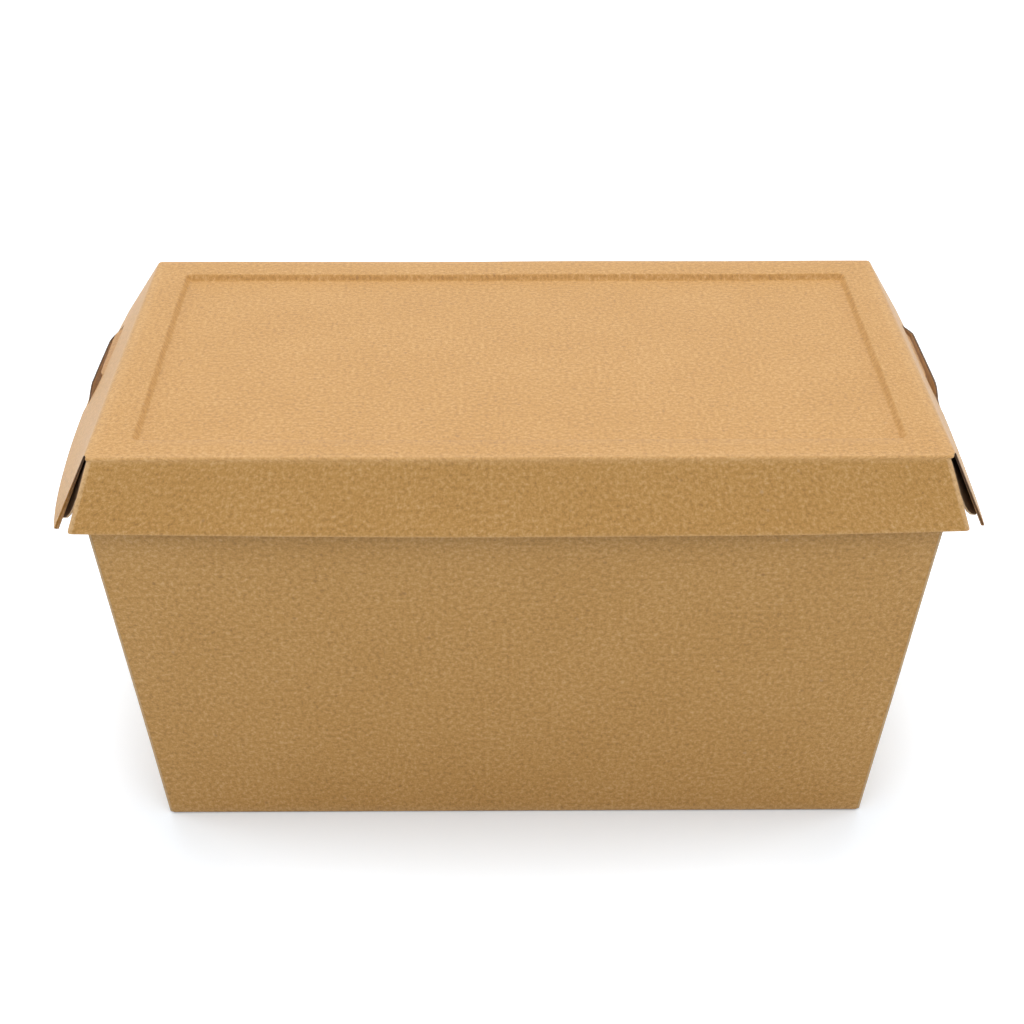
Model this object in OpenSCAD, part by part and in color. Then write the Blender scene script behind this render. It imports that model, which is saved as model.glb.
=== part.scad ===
// Hinged takeout food box folded from kraft board: a tapered tray and a lid with a pressed panel.
// The base stands on z = 0 with its centre at the origin. The front faces -Y, the hinge is at the back.

/* [Board] */
// Thickness of the board
board = 0.5; // [0.35:0.05:0.7]
// Outside radius of a fold
fold_r = 1.5; // [1:0.1:2]

/* [Tray] */
// Width of the base
base_w = 176.6; // [165:0.2:188]
// Depth of the base
base_d = 106; // [96:0.2:118]
// Width across the rim
rim_w = 203.6; // [194:0.2:214]
// Depth across the rim
rim_d = 133; // [124:0.2:142]
// Height of the rim above the base
tray_h = 97.2; // [75:0.2:115]
// Width of the glued tabs inside the end walls
glue_tab_w = 16; // [8:0.5:24]

/* [Lid] */
// Height of the lid's top above the rim
lid_rise = 9.3; // [8:0.1:11]
// Room between the rim and the lid
fit_gap = 0.35; // [0.3:0.05:0.8]
// Room between the two walls at the hinge fold
hinge_gap = 0.45; // [0.4:0.05:0.8]
// Length of the front skirt down its slope
skirt_len = 17.5; // [15:0.1:20]
// Lean of the front skirt from upright, in degrees
skirt_flare = 16; // [12:0.5:20]
// Extra length of the front skirt at its middle
skirt_bow = 0.8; // [0:0.1:2]
// How far the skirt's ends stand in from the side folds
skirt_inset = 0.7; // [0.4:0.1:1.2]
// How much further out each side fold is at the front than at the back
side_toe = 1.1; // [0:0.1:2]

/* [Side flaps] */
// Length of a side flap down its slope
flap_len = 17.5; // [16:0.1:20]
// Lean of a side flap at its front end, beyond the skirt's lean, in degrees
flap_front_extra = 7; // [5:0.5:12]
// Lean of a side flap from upright at its rear end, in degrees
flap_rear_flare = 32; // [28:0.5:36]
// Extra lean at the middle of a side flap, in degrees
flap_belly = 8.5; // [6:0.5:10]
// Reach of a flap's front corner ahead of the panel
flap_front_reach = 5.6; // [4:0.1:9]
// Reach of a flap's rear corner behind the panel
flap_rear_reach = 3; // [0:0.1:5]
// Length of the glued ears that tie the front skirt to the flaps
ear_len = 18; // [12:0.5:26]
// How far an ear hangs below the part of the skirt that it is folded from
ear_drop = 3.6; // [1:0.1:5]

/* [Pressed panel] */
// Margin beside the pressed panel
press_side = 8.5; // [6:0.1:14]
// Margin before the pressed panel
press_front = 9.8; // [6:0.1:14]
// Margin behind the pressed panel
press_back = 11.1; // [6:0.1:14]
// Depth of the pressed panel
press_depth = 1.5; // [0.5:0.1:2]
// Width of the slope around the pressed panel
press_slope = 1.7; // [1.2:0.1:4]
// Corner radius of the pressed panel
press_corner = 2; // [1.8:0.1:8]

/* [Side locks] */
// Length of the slit in a side flap
slit_len = 48; // [46:0.5:56]
// Middle of the slit, ahead of the rim's back edge
slit_y = 47.3; // [42.3:0.2:52.3]
// How far the strap below the slit is pushed out
strap_push = 2; // [1.8:0.1:2.6]
// Length of the tab on the tray's end wall
tab_len = 34; // [20:0.5:35]
// Middle of the tab, behind the middle of the slit
tab_offset = 3; // [0:0.2:4]
// Reach of the tab down its slope
tab_reach = 7; // [6:0.1:7.4]
// Slope of the tab below level, in degrees
tab_dip = 34; // [32:0.5:38]
// Inside radius of the tab's fold
tab_fold_r = 0.6; // [0.4:0.1:1]
// Corner radius of the tab
tab_corner = 4; // [2:0.1:6]

/* [Hidden] */

kraft = [0.70, 0.52, 0.31];
kraft_lid = [0.74, 0.56, 0.35];

// Steps round a fold, and across half of the pressed panel each way
fold_steps = 4;
field_steps_x = 4;
field_steps_y = 12;

// Places of the sheets' cross lines, as shares of the slope that they divide
press_shares = [1, 0.65, 0.35, 0];
corner_line_share = 0.6;
skirt_shares = [0.2, 0.4, 0.6, 0.8, 1];
flap_over_shares = [0.5, 1];
flap_under_shares = [0.5, 1];
back_shares = [1];
wall_shares = [0.03, 0.35, 0.65, 0.97, 1];
wall_width_shares = [0.5, 1];
tab_width_shares = [-1, -0.94, -0.8, -0.4, 0, 0.4, 0.8, 0.94, 1];
tab_reach_shares = [0.5, 1];
ear_shares = [0.06, 0.2, 0.35, 0.6, 0.8, 1];
// Share of an ear's length over which it drops, and over which it meets the flap
ear_drop_share = 0.35;
ear_meet_share = 0.7;
// Share of a glued tab's height that its slanted ends take off
glue_slant_share = 0.12;
// Place of the slit down the flap, of its slanted front end, and the share of its half that runs straight
slit_share = 0.69;
slit_end_share = 0.86;
slit_straight_share = 0.5;
// Share of the slit over which the strap leaves the flap at each end
strap_ramp_share = 0.17;
// Share of the strap's push that is left at its lower edge
strap_foot_share = 0.05;
// Power that moves the middle of a flap's belly forward when it is below 1
belly_skew = 0.7;

// Room between two glued layers
glue_gap = board / 10;
// Lean of the tray's end walls and of its front and back walls, in degrees
end_lean = atan((rim_w - base_w) / 2 / tray_h);
long_lean = atan((rim_d - base_d) / 2 / tray_h);
// Half the lid's width and depth, from crease to crease, that let its skirt clear the rim
skirt_spread = lid_rise * tan(skirt_flare) - board / cos(skirt_flare) - fit_gap;
lid_half_w = rim_w / 2 - skirt_spread;
lid_half_d = rim_d / 2 - skirt_spread;
lid_top = tray_h + lid_rise;
// Middle of the slit and of the tab, behind the middle of the box
slit_mid = rim_d / 2 - slit_y;
tab_y = slit_mid + tab_offset;
// The lid's back wall reaches down to the hinge fold, in line with the tray's back wall
back_flare = atan((rim_d / 2 - lid_half_d) / lid_rise);
back_len = (lid_rise - hinge_gap) / cos(back_flare);

function lerp(a, b, t) = a + (b - a) * t;
function clamp(t) = min(max(t, 0), 1);
function smooth(t) = clamp(t) * clamp(t) * (3 - 2 * clamp(t));
function reversed(list) = [for (k = [len(list) - 1:-1:0]) list[k]];
function mirrored(half) = concat(-reversed(half), [0], half);

// A panel's edge is a fold and a slope. A station is [outward, down] from the crease, at a depth in
// the board.
function fold_reach(flare) = fold_r * tan((90 - flare) / 2);
function fold_at(angle, flare, depth) =
    [(fold_r - depth) * sin(angle) - fold_reach(flare), fold_r - (fold_r - depth) * cos(angle)];
function slope_at(along, flare, depth) =
    [along * sin(flare) - depth * cos(flare), along * cos(flare) + depth * sin(flare)];
function along_at(k, flare, length, shares) =
    k <= fold_steps ? fold_reach(flare) * k / fold_steps
    : lerp(fold_reach(flare), length, shares[k - fold_steps - 1]);
function station(k, flare, length, shares, depth) =
    k <= fold_steps ? fold_at((90 - flare) * k / fold_steps, flare, depth)
    : slope_at(along_at(k, flare, length, shares), flare, depth);

// A closed sheet between an outer and an inner skin. Cells are quads of the outer skin's points, and every
// edge that only one cell has is closed by a strip of the board's thickness.
module folded_sheet(outer, inner, cells) {
    n = len(outer);
    edges = [for (c = cells) for (k = [0:3]) [c[k], c[(k + 1) % 4]]];
    keys = [for (e = edges) e[0] * n + e[1]];
    twins = search([for (e = edges) e[1] * n + e[0]], keys);
    open_edges = [for (k = [0:len(edges) - 1]) if (twins[k] == []) edges[k]];
    outside = [for (c = cells) each [[c[0], c[1], c[2]], [c[0], c[2], c[3]]]];
    inside = [for (f = outside) [f[2] + n, f[1] + n, f[0] + n]];
    strips = [for (e = open_edges) each [[e[1], e[0], e[0] + n], [e[1], e[0] + n, e[1] + n]]];
    polyhedron(concat(outer, inner), concat(outside, inside, strips));
}

// The blank is a cross: a panel of columns and rows with an arm at each side. Steps are counted outward from
// the panel's edge, with a minus at the left and the front.
function arm_step(k, arm, panel) = k < arm ? k - arm : k >= arm + panel ? k - arm - panel + 1 : 0;
function in_panel(k, arm, panel) = k >= arm && k < arm + panel - 1;

// Lid: columns from the left flap to the right flap, rows from the front skirt to the back wall
press_half_w = lid_half_w - press_side;
press_half_d = lid_half_d - (press_front + press_back) / 2;
press_y = (press_front - press_back) / 2;
function press_lines(half, steps) =
    let (flat_half = half - press_slope - press_corner)
    concat(
        [for (k = [1:steps]) flat_half * k / steps],
        [lerp(flat_half, half - press_slope, corner_line_share)],
        [for (s = press_shares) half - press_slope * s]
    );
lid_edge_d_front = lid_half_d - fold_reach(skirt_flare);
lid_edge_d_back = lid_half_d - fold_reach(back_flare);
lid_columns = mirrored(concat(press_lines(press_half_w, field_steps_x), [lid_half_w]));
lid_rows = concat(
    [-lid_edge_d_front],
    [for (y = mirrored(press_lines(press_half_d, field_steps_y))) press_y + y],
    [lid_edge_d_back]
);
flap_steps = fold_steps + len(flap_over_shares) + len(flap_under_shares);
skirt_steps = fold_steps + len(skirt_shares);
back_steps = fold_steps + len(back_shares);
lid_w_count = len(lid_columns);
lid_d_count = len(lid_rows);
lid_count_x = lid_w_count + 2 * flap_steps;
lid_count_y = skirt_steps + lid_d_count + back_steps;
slit_step = fold_steps + len(flap_over_shares);

// Depth of the press below the panel, from the distance to its rounded outline
function press_at(x, y) =
    let (
        dx = abs(x) - press_half_w + press_corner,
        dy = abs(y - press_y) - press_half_d + press_corner,
        inside = press_corner - (dx > 0 && dy > 0 ? norm([dx, dy]) : max(dx, dy))
    )
    press_depth * smooth(inside / press_slope);

function flap_share(y) = (y + lid_edge_d_front) / (lid_edge_d_front + lid_edge_d_back);
function flap_flare(y) =
    let (s = clamp(flap_share(y)), skewed = pow(s, belly_skew))
    lerp(skirt_flare + flap_front_extra, flap_rear_flare, s) + flap_belly * 4 * skewed * (1 - skewed);
// Half the lid's width between its side folds, which toe out towards the front
function crease_x(y) = lid_half_w + side_toe * (1 - clamp(flap_share(y)));

// Lines down a flap. One of them is the slit, whose front end slants towards the flap's edge.
function slit_share_at(y) =
    let (off = (slit_mid - y) / (slit_len / 2))
    lerp(slit_share, slit_end_share, smooth((off - slit_straight_share) / (1 - slit_straight_share)));
function flap_shares_at(y) =
    let (slit = slit_share_at(y))
    concat(slit * flap_over_shares, [for (s = flap_under_shares) lerp(slit, 1, s)]);
function strap_at(y) =
    smooth((slit_len / 2 - abs(y - slit_mid)) / (slit_len * strap_ramp_share));
function strap_push_at(y, k, lip) =
    k > slit_step || lip
    ? strap_push * strap_at(y) * lerp(1, strap_foot_share, (k - slit_step) / (flap_steps - slit_step))
    : 0;

function panel_x(i, y) =
    let (c = lid_columns[i])
    abs(c) == lid_half_w ? sign(c) * (crease_x(y) - fold_reach(flap_flare(y))) : c;

function flap_point(side, k, y, depth, lip) =
    let (
        flare = flap_flare(y),
        shares = flap_shares_at(y),
        p = station(k, flare, flap_len, shares, depth),
        t = along_at(k, flare, flap_len, shares) / flap_len,
        s = flap_share(y),
        stretch = t * lerp(-flap_front_reach, flap_rear_reach, s)
    )
    [side * (crease_x(y) + p[0] + strap_push_at(y, k, lip)), y + stretch, lid_top - p[1]];

// The skirt's ends stand a little in from the side folds, and its inner skin is mitred for the ears.
function skirt_point(k, i, depth) =
    let (
        edge = panel_x(lid_w_count - 1, -lid_edge_d_front),
        x = panel_x(i, -lid_edge_d_front),
        length = skirt_len + skirt_bow * (1 - pow(x / edge, 2)),
        p = station(k, skirt_flare, length, skirt_shares, depth),
        inset = skirt_inset * min(k / fold_steps, 1),
        out = station(k, skirt_flare, skirt_len, skirt_shares, 0)[0],
        corner = crease_x(-lid_edge_d_front) - inset + out,
        mitre = abs(x) == edge ? sign(x) * depth : 0
    )
    [x * corner / edge - mitre, -lid_half_d - p[0], lid_top - p[1]];

function back_point(k, i, depth) =
    let (p = station(k, back_flare, back_len, back_shares, depth))
    [panel_x(i, lid_edge_d_back), lid_half_d + p[0], lid_top - p[1]];

function lid_point(i, j, depth) =
    let (
        side_step = arm_step(i, flap_steps, lid_w_count),
        end_step = arm_step(j, skirt_steps, lid_d_count),
        column = min(max(i - flap_steps, 0), lid_w_count - 1),
        row = min(max(j - skirt_steps, 0), lid_d_count - 1),
        y = lid_rows[row],
        x = panel_x(column, y)
    )
    side_step != 0 ? flap_point(sign(side_step), abs(side_step), y, depth, false)
    : end_step < 0 ? skirt_point(-end_step, column, depth)
    : end_step > 0 ? back_point(end_step, column, depth)
    : [x, y, lid_top - press_at(x, y) - depth];

// Ears are folded back from the ends of the skirt and follow the inside of the flaps.
ear_rows = 3;
ear_first = len(skirt_shares) - ear_rows;
function flap_inside(y, drop) =
    let (flare = flap_flare(y), depth = board + glue_gap)
    crease_x(y) + drop * tan(flare) - depth / cos(flare);
function ear_point(side, r, c, depth) =
    let (
        q = ear_shares[c],
        root = skirt_point(skirt_steps - ear_first - r, lid_w_count - 1, 0),
        row_share = 1 - r / (ear_rows - 1),
        hang = 1 - pow(1 - clamp(q / ear_drop_share), 2),
        drop = lid_top - root[2] + ear_drop * row_share * sqrt(hang) + board * q,
        y = root[1] + ear_len * q,
        apart = max(flap_inside(root[1], lid_top - root[2]) - root[0], 0),
        flare = flap_flare(y),
        x = flap_inside(y, drop) - apart * (1 - smooth(q / ear_meet_share))
    )
    [side * (x - depth * cos(flare)), y, lid_top - drop - depth * sin(flare)];

module lid() {
    slit_open = [for (y = lid_rows) strap_at(y) > 0];
    lips = lid_count_x * lid_count_y;
    ears = lips + 2 * lid_d_count;
    ear_count = ear_rows * len(ear_shares);
    right_edge = flap_steps + lid_w_count - 1;
    function at(i, j) = i * lid_count_y + j;
    function strap_vertex(side, i, j) =
        let (row = j - skirt_steps, step = abs(arm_step(i, flap_steps, lid_w_count)))
        step == slit_step && slit_open[row] ? lips + (side > 0 ? lid_d_count : 0) + row : at(i, j);
    function vertex(i, j, cell_i) =
        let (step = arm_step(i, flap_steps, lid_w_count), next = arm_step(cell_i, flap_steps, lid_w_count))
        step < 0 && next < -slit_step ? strap_vertex(-1, i, j)
        : step > 0 && next >= slit_step ? strap_vertex(1, i, j)
        : at(i, j);
    function ear_vertex(side, r, c) =
        c < 0 ? at(side > 0 ? right_edge : flap_steps, ear_first + r)
        : ears + (side > 0 ? ear_count : 0) + r * len(ear_shares) + c;
    function skin(depth) = concat(
        [for (i = [0:lid_count_x - 1]) for (j = [0:lid_count_y - 1]) lid_point(i, j, depth)],
        [for (side = [-1, 1]) for (y = lid_rows) flap_point(side, slit_step, y, depth, true)],
        [for (side = [-1, 1]) for (r = [0:ear_rows - 1]) for (c = [0:len(ear_shares) - 1])
            ear_point(side, r, c, depth)]
    );
    cross_cells = [
        for (i = [0:lid_count_x - 2]) for (j = [0:lid_count_y - 2])
            if (in_panel(i, flap_steps, lid_w_count) || in_panel(j, skirt_steps, lid_d_count))
                [vertex(i, j, i), vertex(i, j + 1, i), vertex(i + 1, j + 1, i), vertex(i + 1, j, i)]
    ];
    ear_cells = [
        for (side = [-1, 1]) for (r = [0:ear_rows - 2]) for (c = [-1:len(ear_shares) - 2])
            let (cell = [
                ear_vertex(side, r, c), ear_vertex(side, r + 1, c),
                ear_vertex(side, r + 1, c + 1), ear_vertex(side, r, c + 1)
            ])
            side > 0 ? cell : reversed(cell)
    ];
    color(kraft_lid) folded_sheet(skin(0), skin(board), concat(cross_cells, ear_cells));
}

// Tray: the base and four walls, with glued tabs on the front and back walls and a lock tab on each end wall
wall_steps = fold_steps + len(wall_shares);
base_edge_w = base_w / 2 - fold_reach(end_lean);
base_edge_d = base_d / 2 - fold_reach(long_lean);
end_len = tray_h / cos(end_lean);
long_len = tray_h / cos(long_lean);
tray_columns = mirrored([for (s = wall_width_shares) base_edge_w * s]);
// Rows are set by the lock tab's places along the rim.
tray_rows = concat(
    [-base_edge_d],
    [for (s = tab_width_shares) (tab_y + s * tab_len / 2) * base_edge_d / (rim_d / 2)],
    [base_edge_d]
);
tray_w_count = len(tray_columns);
tray_d_count = len(tray_rows);
tray_count_x = tray_w_count + 2 * wall_steps;
tray_count_y = tray_d_count + 2 * wall_steps;
tab_rows = fold_steps + len(tab_reach_shares);

function corner_share(k) = min(k / fold_steps, 1);
// An end wall's edges are flush with the outside of the front and back walls.
function end_wall_point(side, k, y, depth) =
    let (
        p = station(k, end_lean, end_len, wall_shares, depth),
        height = station(k, end_lean, end_len, wall_shares, 0)[1],
        edge = lerp(base_edge_d, base_d / 2 + height * tan(long_lean), corner_share(k))
    )
    [side * (base_w / 2 + p[0]), y * edge / base_edge_d, p[1]];

// The front and back walls end inside the end walls, with their inner skin mitred for the glued tabs.
function end_inside(height) =
    base_w / 2 + height * tan(end_lean) - (board + glue_gap) / cos(end_lean);
function long_wall_point(side, k, x, depth) =
    let (
        p = station(k, long_lean, long_len, wall_shares, depth),
        height = station(k, long_lean, long_len, wall_shares, 0)[1],
        edge = lerp(base_edge_w, end_inside(height), corner_share(k)),
        mitre = abs(x) == base_edge_w && k > 0 ? sign(x) * depth : 0
    )
    [x * edge / base_edge_w - mitre, side * (base_d / 2 + p[0]), p[1]];

function tray_point(i, j, depth) =
    let (
        side_step = arm_step(i, wall_steps, tray_w_count),
        end_step = arm_step(j, wall_steps, tray_d_count),
        x = tray_columns[min(max(i - wall_steps, 0), tray_w_count - 1)],
        y = tray_rows[min(max(j - wall_steps, 0), tray_d_count - 1)]
    )
    side_step != 0 ? end_wall_point(sign(side_step), abs(side_step), y, depth)
    : end_step != 0 ? long_wall_point(sign(end_step), abs(end_step), x, depth)
    : [x, y, depth];

// A glued tab lies on the inside of an end wall, with slanted ends. Its far edge is line 1.
glue_first = fold_steps + 1;
glue_rows = len(wall_shares) - 1;
function glue_point(side, end, r, c, depth) =
    let (
        root = station(glue_first + r, long_lean, long_len, wall_shares, 0)[1],
        height = c == 0 ? root : lerp(root, tray_h / 2, 2 * glue_slant_share),
        wall = base_d / 2 + height * tan(long_lean),
        back = c == 0 ? board + glue_gap : glue_tab_w
    )
    [side * (end_inside(height) - depth), end * (wall - back), height];

// A lock tab is folded out over the rim and slopes down.
function tab_round(y) =
    let (d = clamp((abs(y - tab_y) - tab_len / 2 + tab_corner) / tab_corner))
    tab_corner * (1 - sqrt(1 - d * d));
function tab_point(side, r, j, depth) =
    let (
        rim = end_wall_point(side, wall_steps, tray_rows[j], 0),
        turn = (90 + tab_dip - end_lean) * min(r / fold_steps, 1),
        angle = 180 - end_lean - turn,
        centre = [abs(rim[0]) + tab_fold_r * cos(end_lean), rim[2] - tab_fold_r * sin(end_lean)],
        reach = r <= fold_steps ? 0
            : (tab_reach - tab_round(rim[1])) * tab_reach_shares[r - fold_steps - 1],
        x = centre[0] + (tab_fold_r + depth) * cos(angle) + reach * sin(angle),
        z = centre[1] + (tab_fold_r + depth) * sin(angle) - reach * cos(angle)
    )
    [side * x, rim[1], z];

module tray() {
    glue_base = tray_count_x * tray_count_y;
    tab_base = glue_base + 4 * glue_rows * 2;
    tab_lines = len(tab_width_shares);
    right_edge = wall_steps + tray_w_count - 1;
    function at(i, j) = i * tray_count_y + j;
    function glue_vertex(side, end, r, c) =
        c < 0 ? at(
            side > 0 ? right_edge : wall_steps,
            end < 0 ? wall_steps - glue_first - r : wall_steps + tray_d_count - 1 + glue_first + r
        )
        : glue_base + ((side > 0 ? 2 : 0) + (end > 0 ? 1 : 0)) * glue_rows * 2 + r * 2 + c;
    function tab_vertex(side, r, j) =
        r == 0 ? at(side > 0 ? tray_count_x - 1 : 0, wall_steps + 1 + j)
        : tab_base + (side > 0 ? tab_lines * tab_rows : 0) + (r - 1) * tab_lines + j;
    function skin(depth) = concat(
        [for (i = [0:tray_count_x - 1]) for (j = [0:tray_count_y - 1]) tray_point(i, j, depth)],
        [for (side = [-1, 1]) for (end = [-1, 1]) for (r = [0:glue_rows - 1]) for (c = [0, 1])
            glue_point(side, end, r, c, depth)],
        [for (side = [-1, 1]) for (r = [1:tab_rows]) for (j = [1:tab_lines])
            tab_point(side, r, j, depth)]
    );
    cross_cells = [
        for (i = [0:tray_count_x - 2]) for (j = [0:tray_count_y - 2])
            if (in_panel(i, wall_steps, tray_w_count) || in_panel(j, wall_steps, tray_d_count))
                [at(i, j), at(i, j + 1), at(i + 1, j + 1), at(i + 1, j)]
    ];
    glue_cells = [
        for (side = [-1, 1]) for (end = [-1, 1]) for (r = [0:glue_rows - 2]) for (c = [-1, 0])
            let (cell = [
                glue_vertex(side, end, r, c), glue_vertex(side, end, r + 1, c),
                glue_vertex(side, end, r + 1, c + 1), glue_vertex(side, end, r, c + 1)
            ])
            side * end > 0 ? cell : reversed(cell)
    ];
    tab_cells = [
        for (side = [-1, 1]) for (r = [0:tab_rows - 1]) for (j = [0:tab_lines - 2])
            let (cell = [
                tab_vertex(side, r, j), tab_vertex(side, r, j + 1),
                tab_vertex(side, r + 1, j + 1), tab_vertex(side, r + 1, j)
            ])
            side > 0 ? cell : reversed(cell)
    ];
    // The tray's outer skin faces down and out, so its cells run the other way round.
    cells = [for (c = concat(cross_cells, glue_cells, tab_cells)) reversed(c)];
    color(kraft) folded_sheet(skin(0), skin(board), cells);
}

tray();
lid();
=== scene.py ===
"""Folded kraft takeout food box: tray, lid and hinge crease as finely folded board, on a plain stage."""
import math
from itertools import product

import bpy
import numpy as np
from bpy.props import FloatProperty, FloatVectorProperty, IntProperty, PointerProperty
from mathutils import Matrix, Vector, noise


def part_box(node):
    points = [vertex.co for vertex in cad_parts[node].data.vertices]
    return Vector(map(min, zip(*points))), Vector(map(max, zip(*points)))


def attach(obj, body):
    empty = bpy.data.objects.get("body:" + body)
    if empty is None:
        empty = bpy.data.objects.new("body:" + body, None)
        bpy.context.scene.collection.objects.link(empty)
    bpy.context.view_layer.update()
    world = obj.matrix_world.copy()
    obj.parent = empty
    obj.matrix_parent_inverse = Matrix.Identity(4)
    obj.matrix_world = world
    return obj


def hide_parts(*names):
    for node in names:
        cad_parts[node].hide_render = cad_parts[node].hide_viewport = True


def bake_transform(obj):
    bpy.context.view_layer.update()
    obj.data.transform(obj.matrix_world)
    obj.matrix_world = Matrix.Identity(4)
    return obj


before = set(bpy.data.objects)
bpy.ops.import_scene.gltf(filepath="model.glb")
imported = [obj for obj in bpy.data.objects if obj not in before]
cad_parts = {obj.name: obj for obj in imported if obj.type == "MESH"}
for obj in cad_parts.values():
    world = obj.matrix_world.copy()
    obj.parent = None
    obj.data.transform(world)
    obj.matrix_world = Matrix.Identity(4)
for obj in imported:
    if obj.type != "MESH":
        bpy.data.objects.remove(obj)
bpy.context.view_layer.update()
TRAY_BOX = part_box("tray")
LID_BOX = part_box("lid")

bl_info = {
    "name": "Kraft Takeout Food Box",
    "version": (1, 0, 0),
    "blender": (4, 5, 0),
    "location": "View3D > Sidebar > Food Box",
    "description": "Builds a folded kraft board food box with a hinged lid, a pressed panel and side locks",
    "category": "Add Mesh",
}

# Room inside the solids' box for board that strays from flat
RIM_ROOM = 0.0003
TOP_ROOM = 0.00014

# Places in the list of materials that all pieces share; SLOT_SHADE is painted shade for what lies in the
# slots
OUTSIDE, INSIDE, CUT_EDGE, SLOT_SHADE = range(4)


# Settings

def length(name, description, default):
    """A length in metres."""
    return FloatProperty(
        name=name, description=description, default=default,
        subtype="DISTANCE", unit="LENGTH", precision=5,
    )


def angle(name, description, degrees):
    """An angle, written in degrees and kept in radians."""
    return FloatProperty(
        name=name, description=description, default=math.radians(degrees),
        subtype="ANGLE", unit="ROTATION",
    )


def share(name, description, default):
    """A share of something else, from 0 to 1."""
    return FloatProperty(name=name, description=description, default=default, subtype="FACTOR", min=0, max=1)


def number(name, description, default, unit="NONE"):
    """A plain number, or one with a unit of its own."""
    return FloatProperty(name=name, description=description, default=default, unit=unit)


def colour(name, description, default):
    """A linear colour."""
    return FloatVectorProperty(
        name=name, description=description, default=default, subtype="COLOR", size=3, min=0, max=1,
    )


class BoardSettings(bpy.types.PropertyGroup):
    """The board that the box is folded from."""
    thickness: length("Thickness", "Thickness of the board", 0.0005)
    fold_radius: length("Fold radius", "Outside radius of a fold", 0.001)
    fold_steps: IntProperty(name="Fold steps", description="Flat strips round a fold", default=8, min=2)
    edge_bevel: length("Edge softness", "Width of the softened corner of a cut edge", 0.00009)
    wear_reach: length("Fold wear reach", "How far the lighter, worn board reaches from a fold", 0.001)
    warp: length("Warp", "How far the walls stray from flat", 0.00022)
    warp_span: length("Warp span", "Distance over which the walls stray", 0.055)
    glue_gap: length("Glue line", "Room between two glued layers", 0.00005)


class TraySettings(bpy.types.PropertyGroup):
    """The tapered tray."""
    base_w: length("Base width", "Width of the base", 0.1766)
    base_d: length("Base depth", "Depth of the base", 0.106)
    rim_w: length("Rim width", "Width across the rim", 0.2036)
    rim_d: length("Rim depth", "Depth across the rim", TRAY_BOX[1].y - TRAY_BOX[0].y - RIM_ROOM)
    height: length("Height", "Height of the rim above the base", 0.0972)
    glue_tab_w: length("Glued tab width", "Width of the glued tabs inside the end walls", 0.016)
    glue_slant: share("Glued tab slant", "Share of a glued tab's height that a slanted end takes", 0.12)


class LidSettings(bpy.types.PropertyGroup):
    """The lid's panel and front skirt."""
    top: length("Top", "Height of the lid's top above the ground", LID_BOX[1].z - TOP_ROOM)
    fit_gap: length("Rim clearance", "Room between the rim and the lid", 0.00025)
    hinge_gap: length("Hinge room", "Room between the two walls at the hinge fold", 0.00045)
    skirt_len: length("Skirt length", "Length of the front skirt down its slope", 0.0178)
    skirt_flare: angle("Skirt lean", "Lean of the front skirt from upright", 15.5)
    skirt_bow: length("Skirt bow", "Extra length of the front skirt at its middle", 0.001)
    left_inset: length("Skirt left inset", "How far in the skirt's left end stands from the fold", 0.0009)
    right_inset: length("Skirt right inset", "How far in the skirt's right end stands from the fold", 0.0014)
    skirt_corner: length("Skirt corner", "Radius of the skirt's lower corners", 0.0007)
    skirt_spread: length("Skirt spread", "How much further out the skirt's lower corners are", 0.0006)
    front_spread: length("Front spread", "How much further out a side fold is at the front", 0.0011)
    shift: length("Lid shift", "How far the lid sits to the right of the tray", 0.0009)
    press_side: length("Side margin", "Margin beside the pressed panel, at the back", 0.0085)
    press_front: length("Front margin", "Margin before the pressed panel", 0.0098)
    press_back: length("Back margin", "Margin behind the pressed panel", 0.0106)
    press_depth: length("Press depth", "Depth of the pressed panel", 0.0015)
    press_slope: length("Press slope", "Width of the slope round the pressed panel", 0.0015)
    press_corner: length("Press corner", "Corner radius of the pressed panel", 0.002)


class FlapSettings(bpy.types.PropertyGroup):
    """The lid's side flaps and the ears that tie the skirt to them."""
    reach: length("Flap length", "Length of a side flap down its slope", 0.0182)
    left_front: angle("Left front lean", "Lean of the left flap at its front end", 22.3)
    left_rear: angle("Left rear lean", "Lean of the left flap at its rear end", 33)
    left_belly: angle("Left belly", "Extra lean at the middle of the left flap", 10)
    right_front: angle("Right front lean", "Lean of the right flap at its front end", 23)
    right_rear: angle("Right rear lean", "Lean of the right flap at its rear end", 30.5)
    right_belly: angle("Right belly", "Extra lean at the middle of the right flap", 4)
    belly_skew: number("Belly skew", "Moves the belly forward when below 1", 0.7)
    front_reach: length("Front reach", "Reach of a flap's front corner ahead of the panel", 0.0054)
    rear_reach: length("Rear reach", "Reach of a flap's rear corner behind the panel", 0.002)
    side_fold: length("Side fold radius", "Outside radius of a flap's fold at its middle", 0.0034)
    corner_slot: length("Corner slot", "Width of the slot between a flap and the skirt", 0.0025)
    ear_len: length("Ear length", "Length of the glued ears", 0.018)
    ear_drop: length("Ear drop", "How far an ear hangs below its root", 0.0086)
    ear_clear: length("Ear clearance", "How far an ear ends above its flap's lower edge", 0.0003)
    ear_fold: length("Ear fold radius", "Outside radius of the fold at the skirt's ends", 0.0015)
    ear_turn: angle("Ear fold turn", "How far the skirt's ends turn back", 78)


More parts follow.
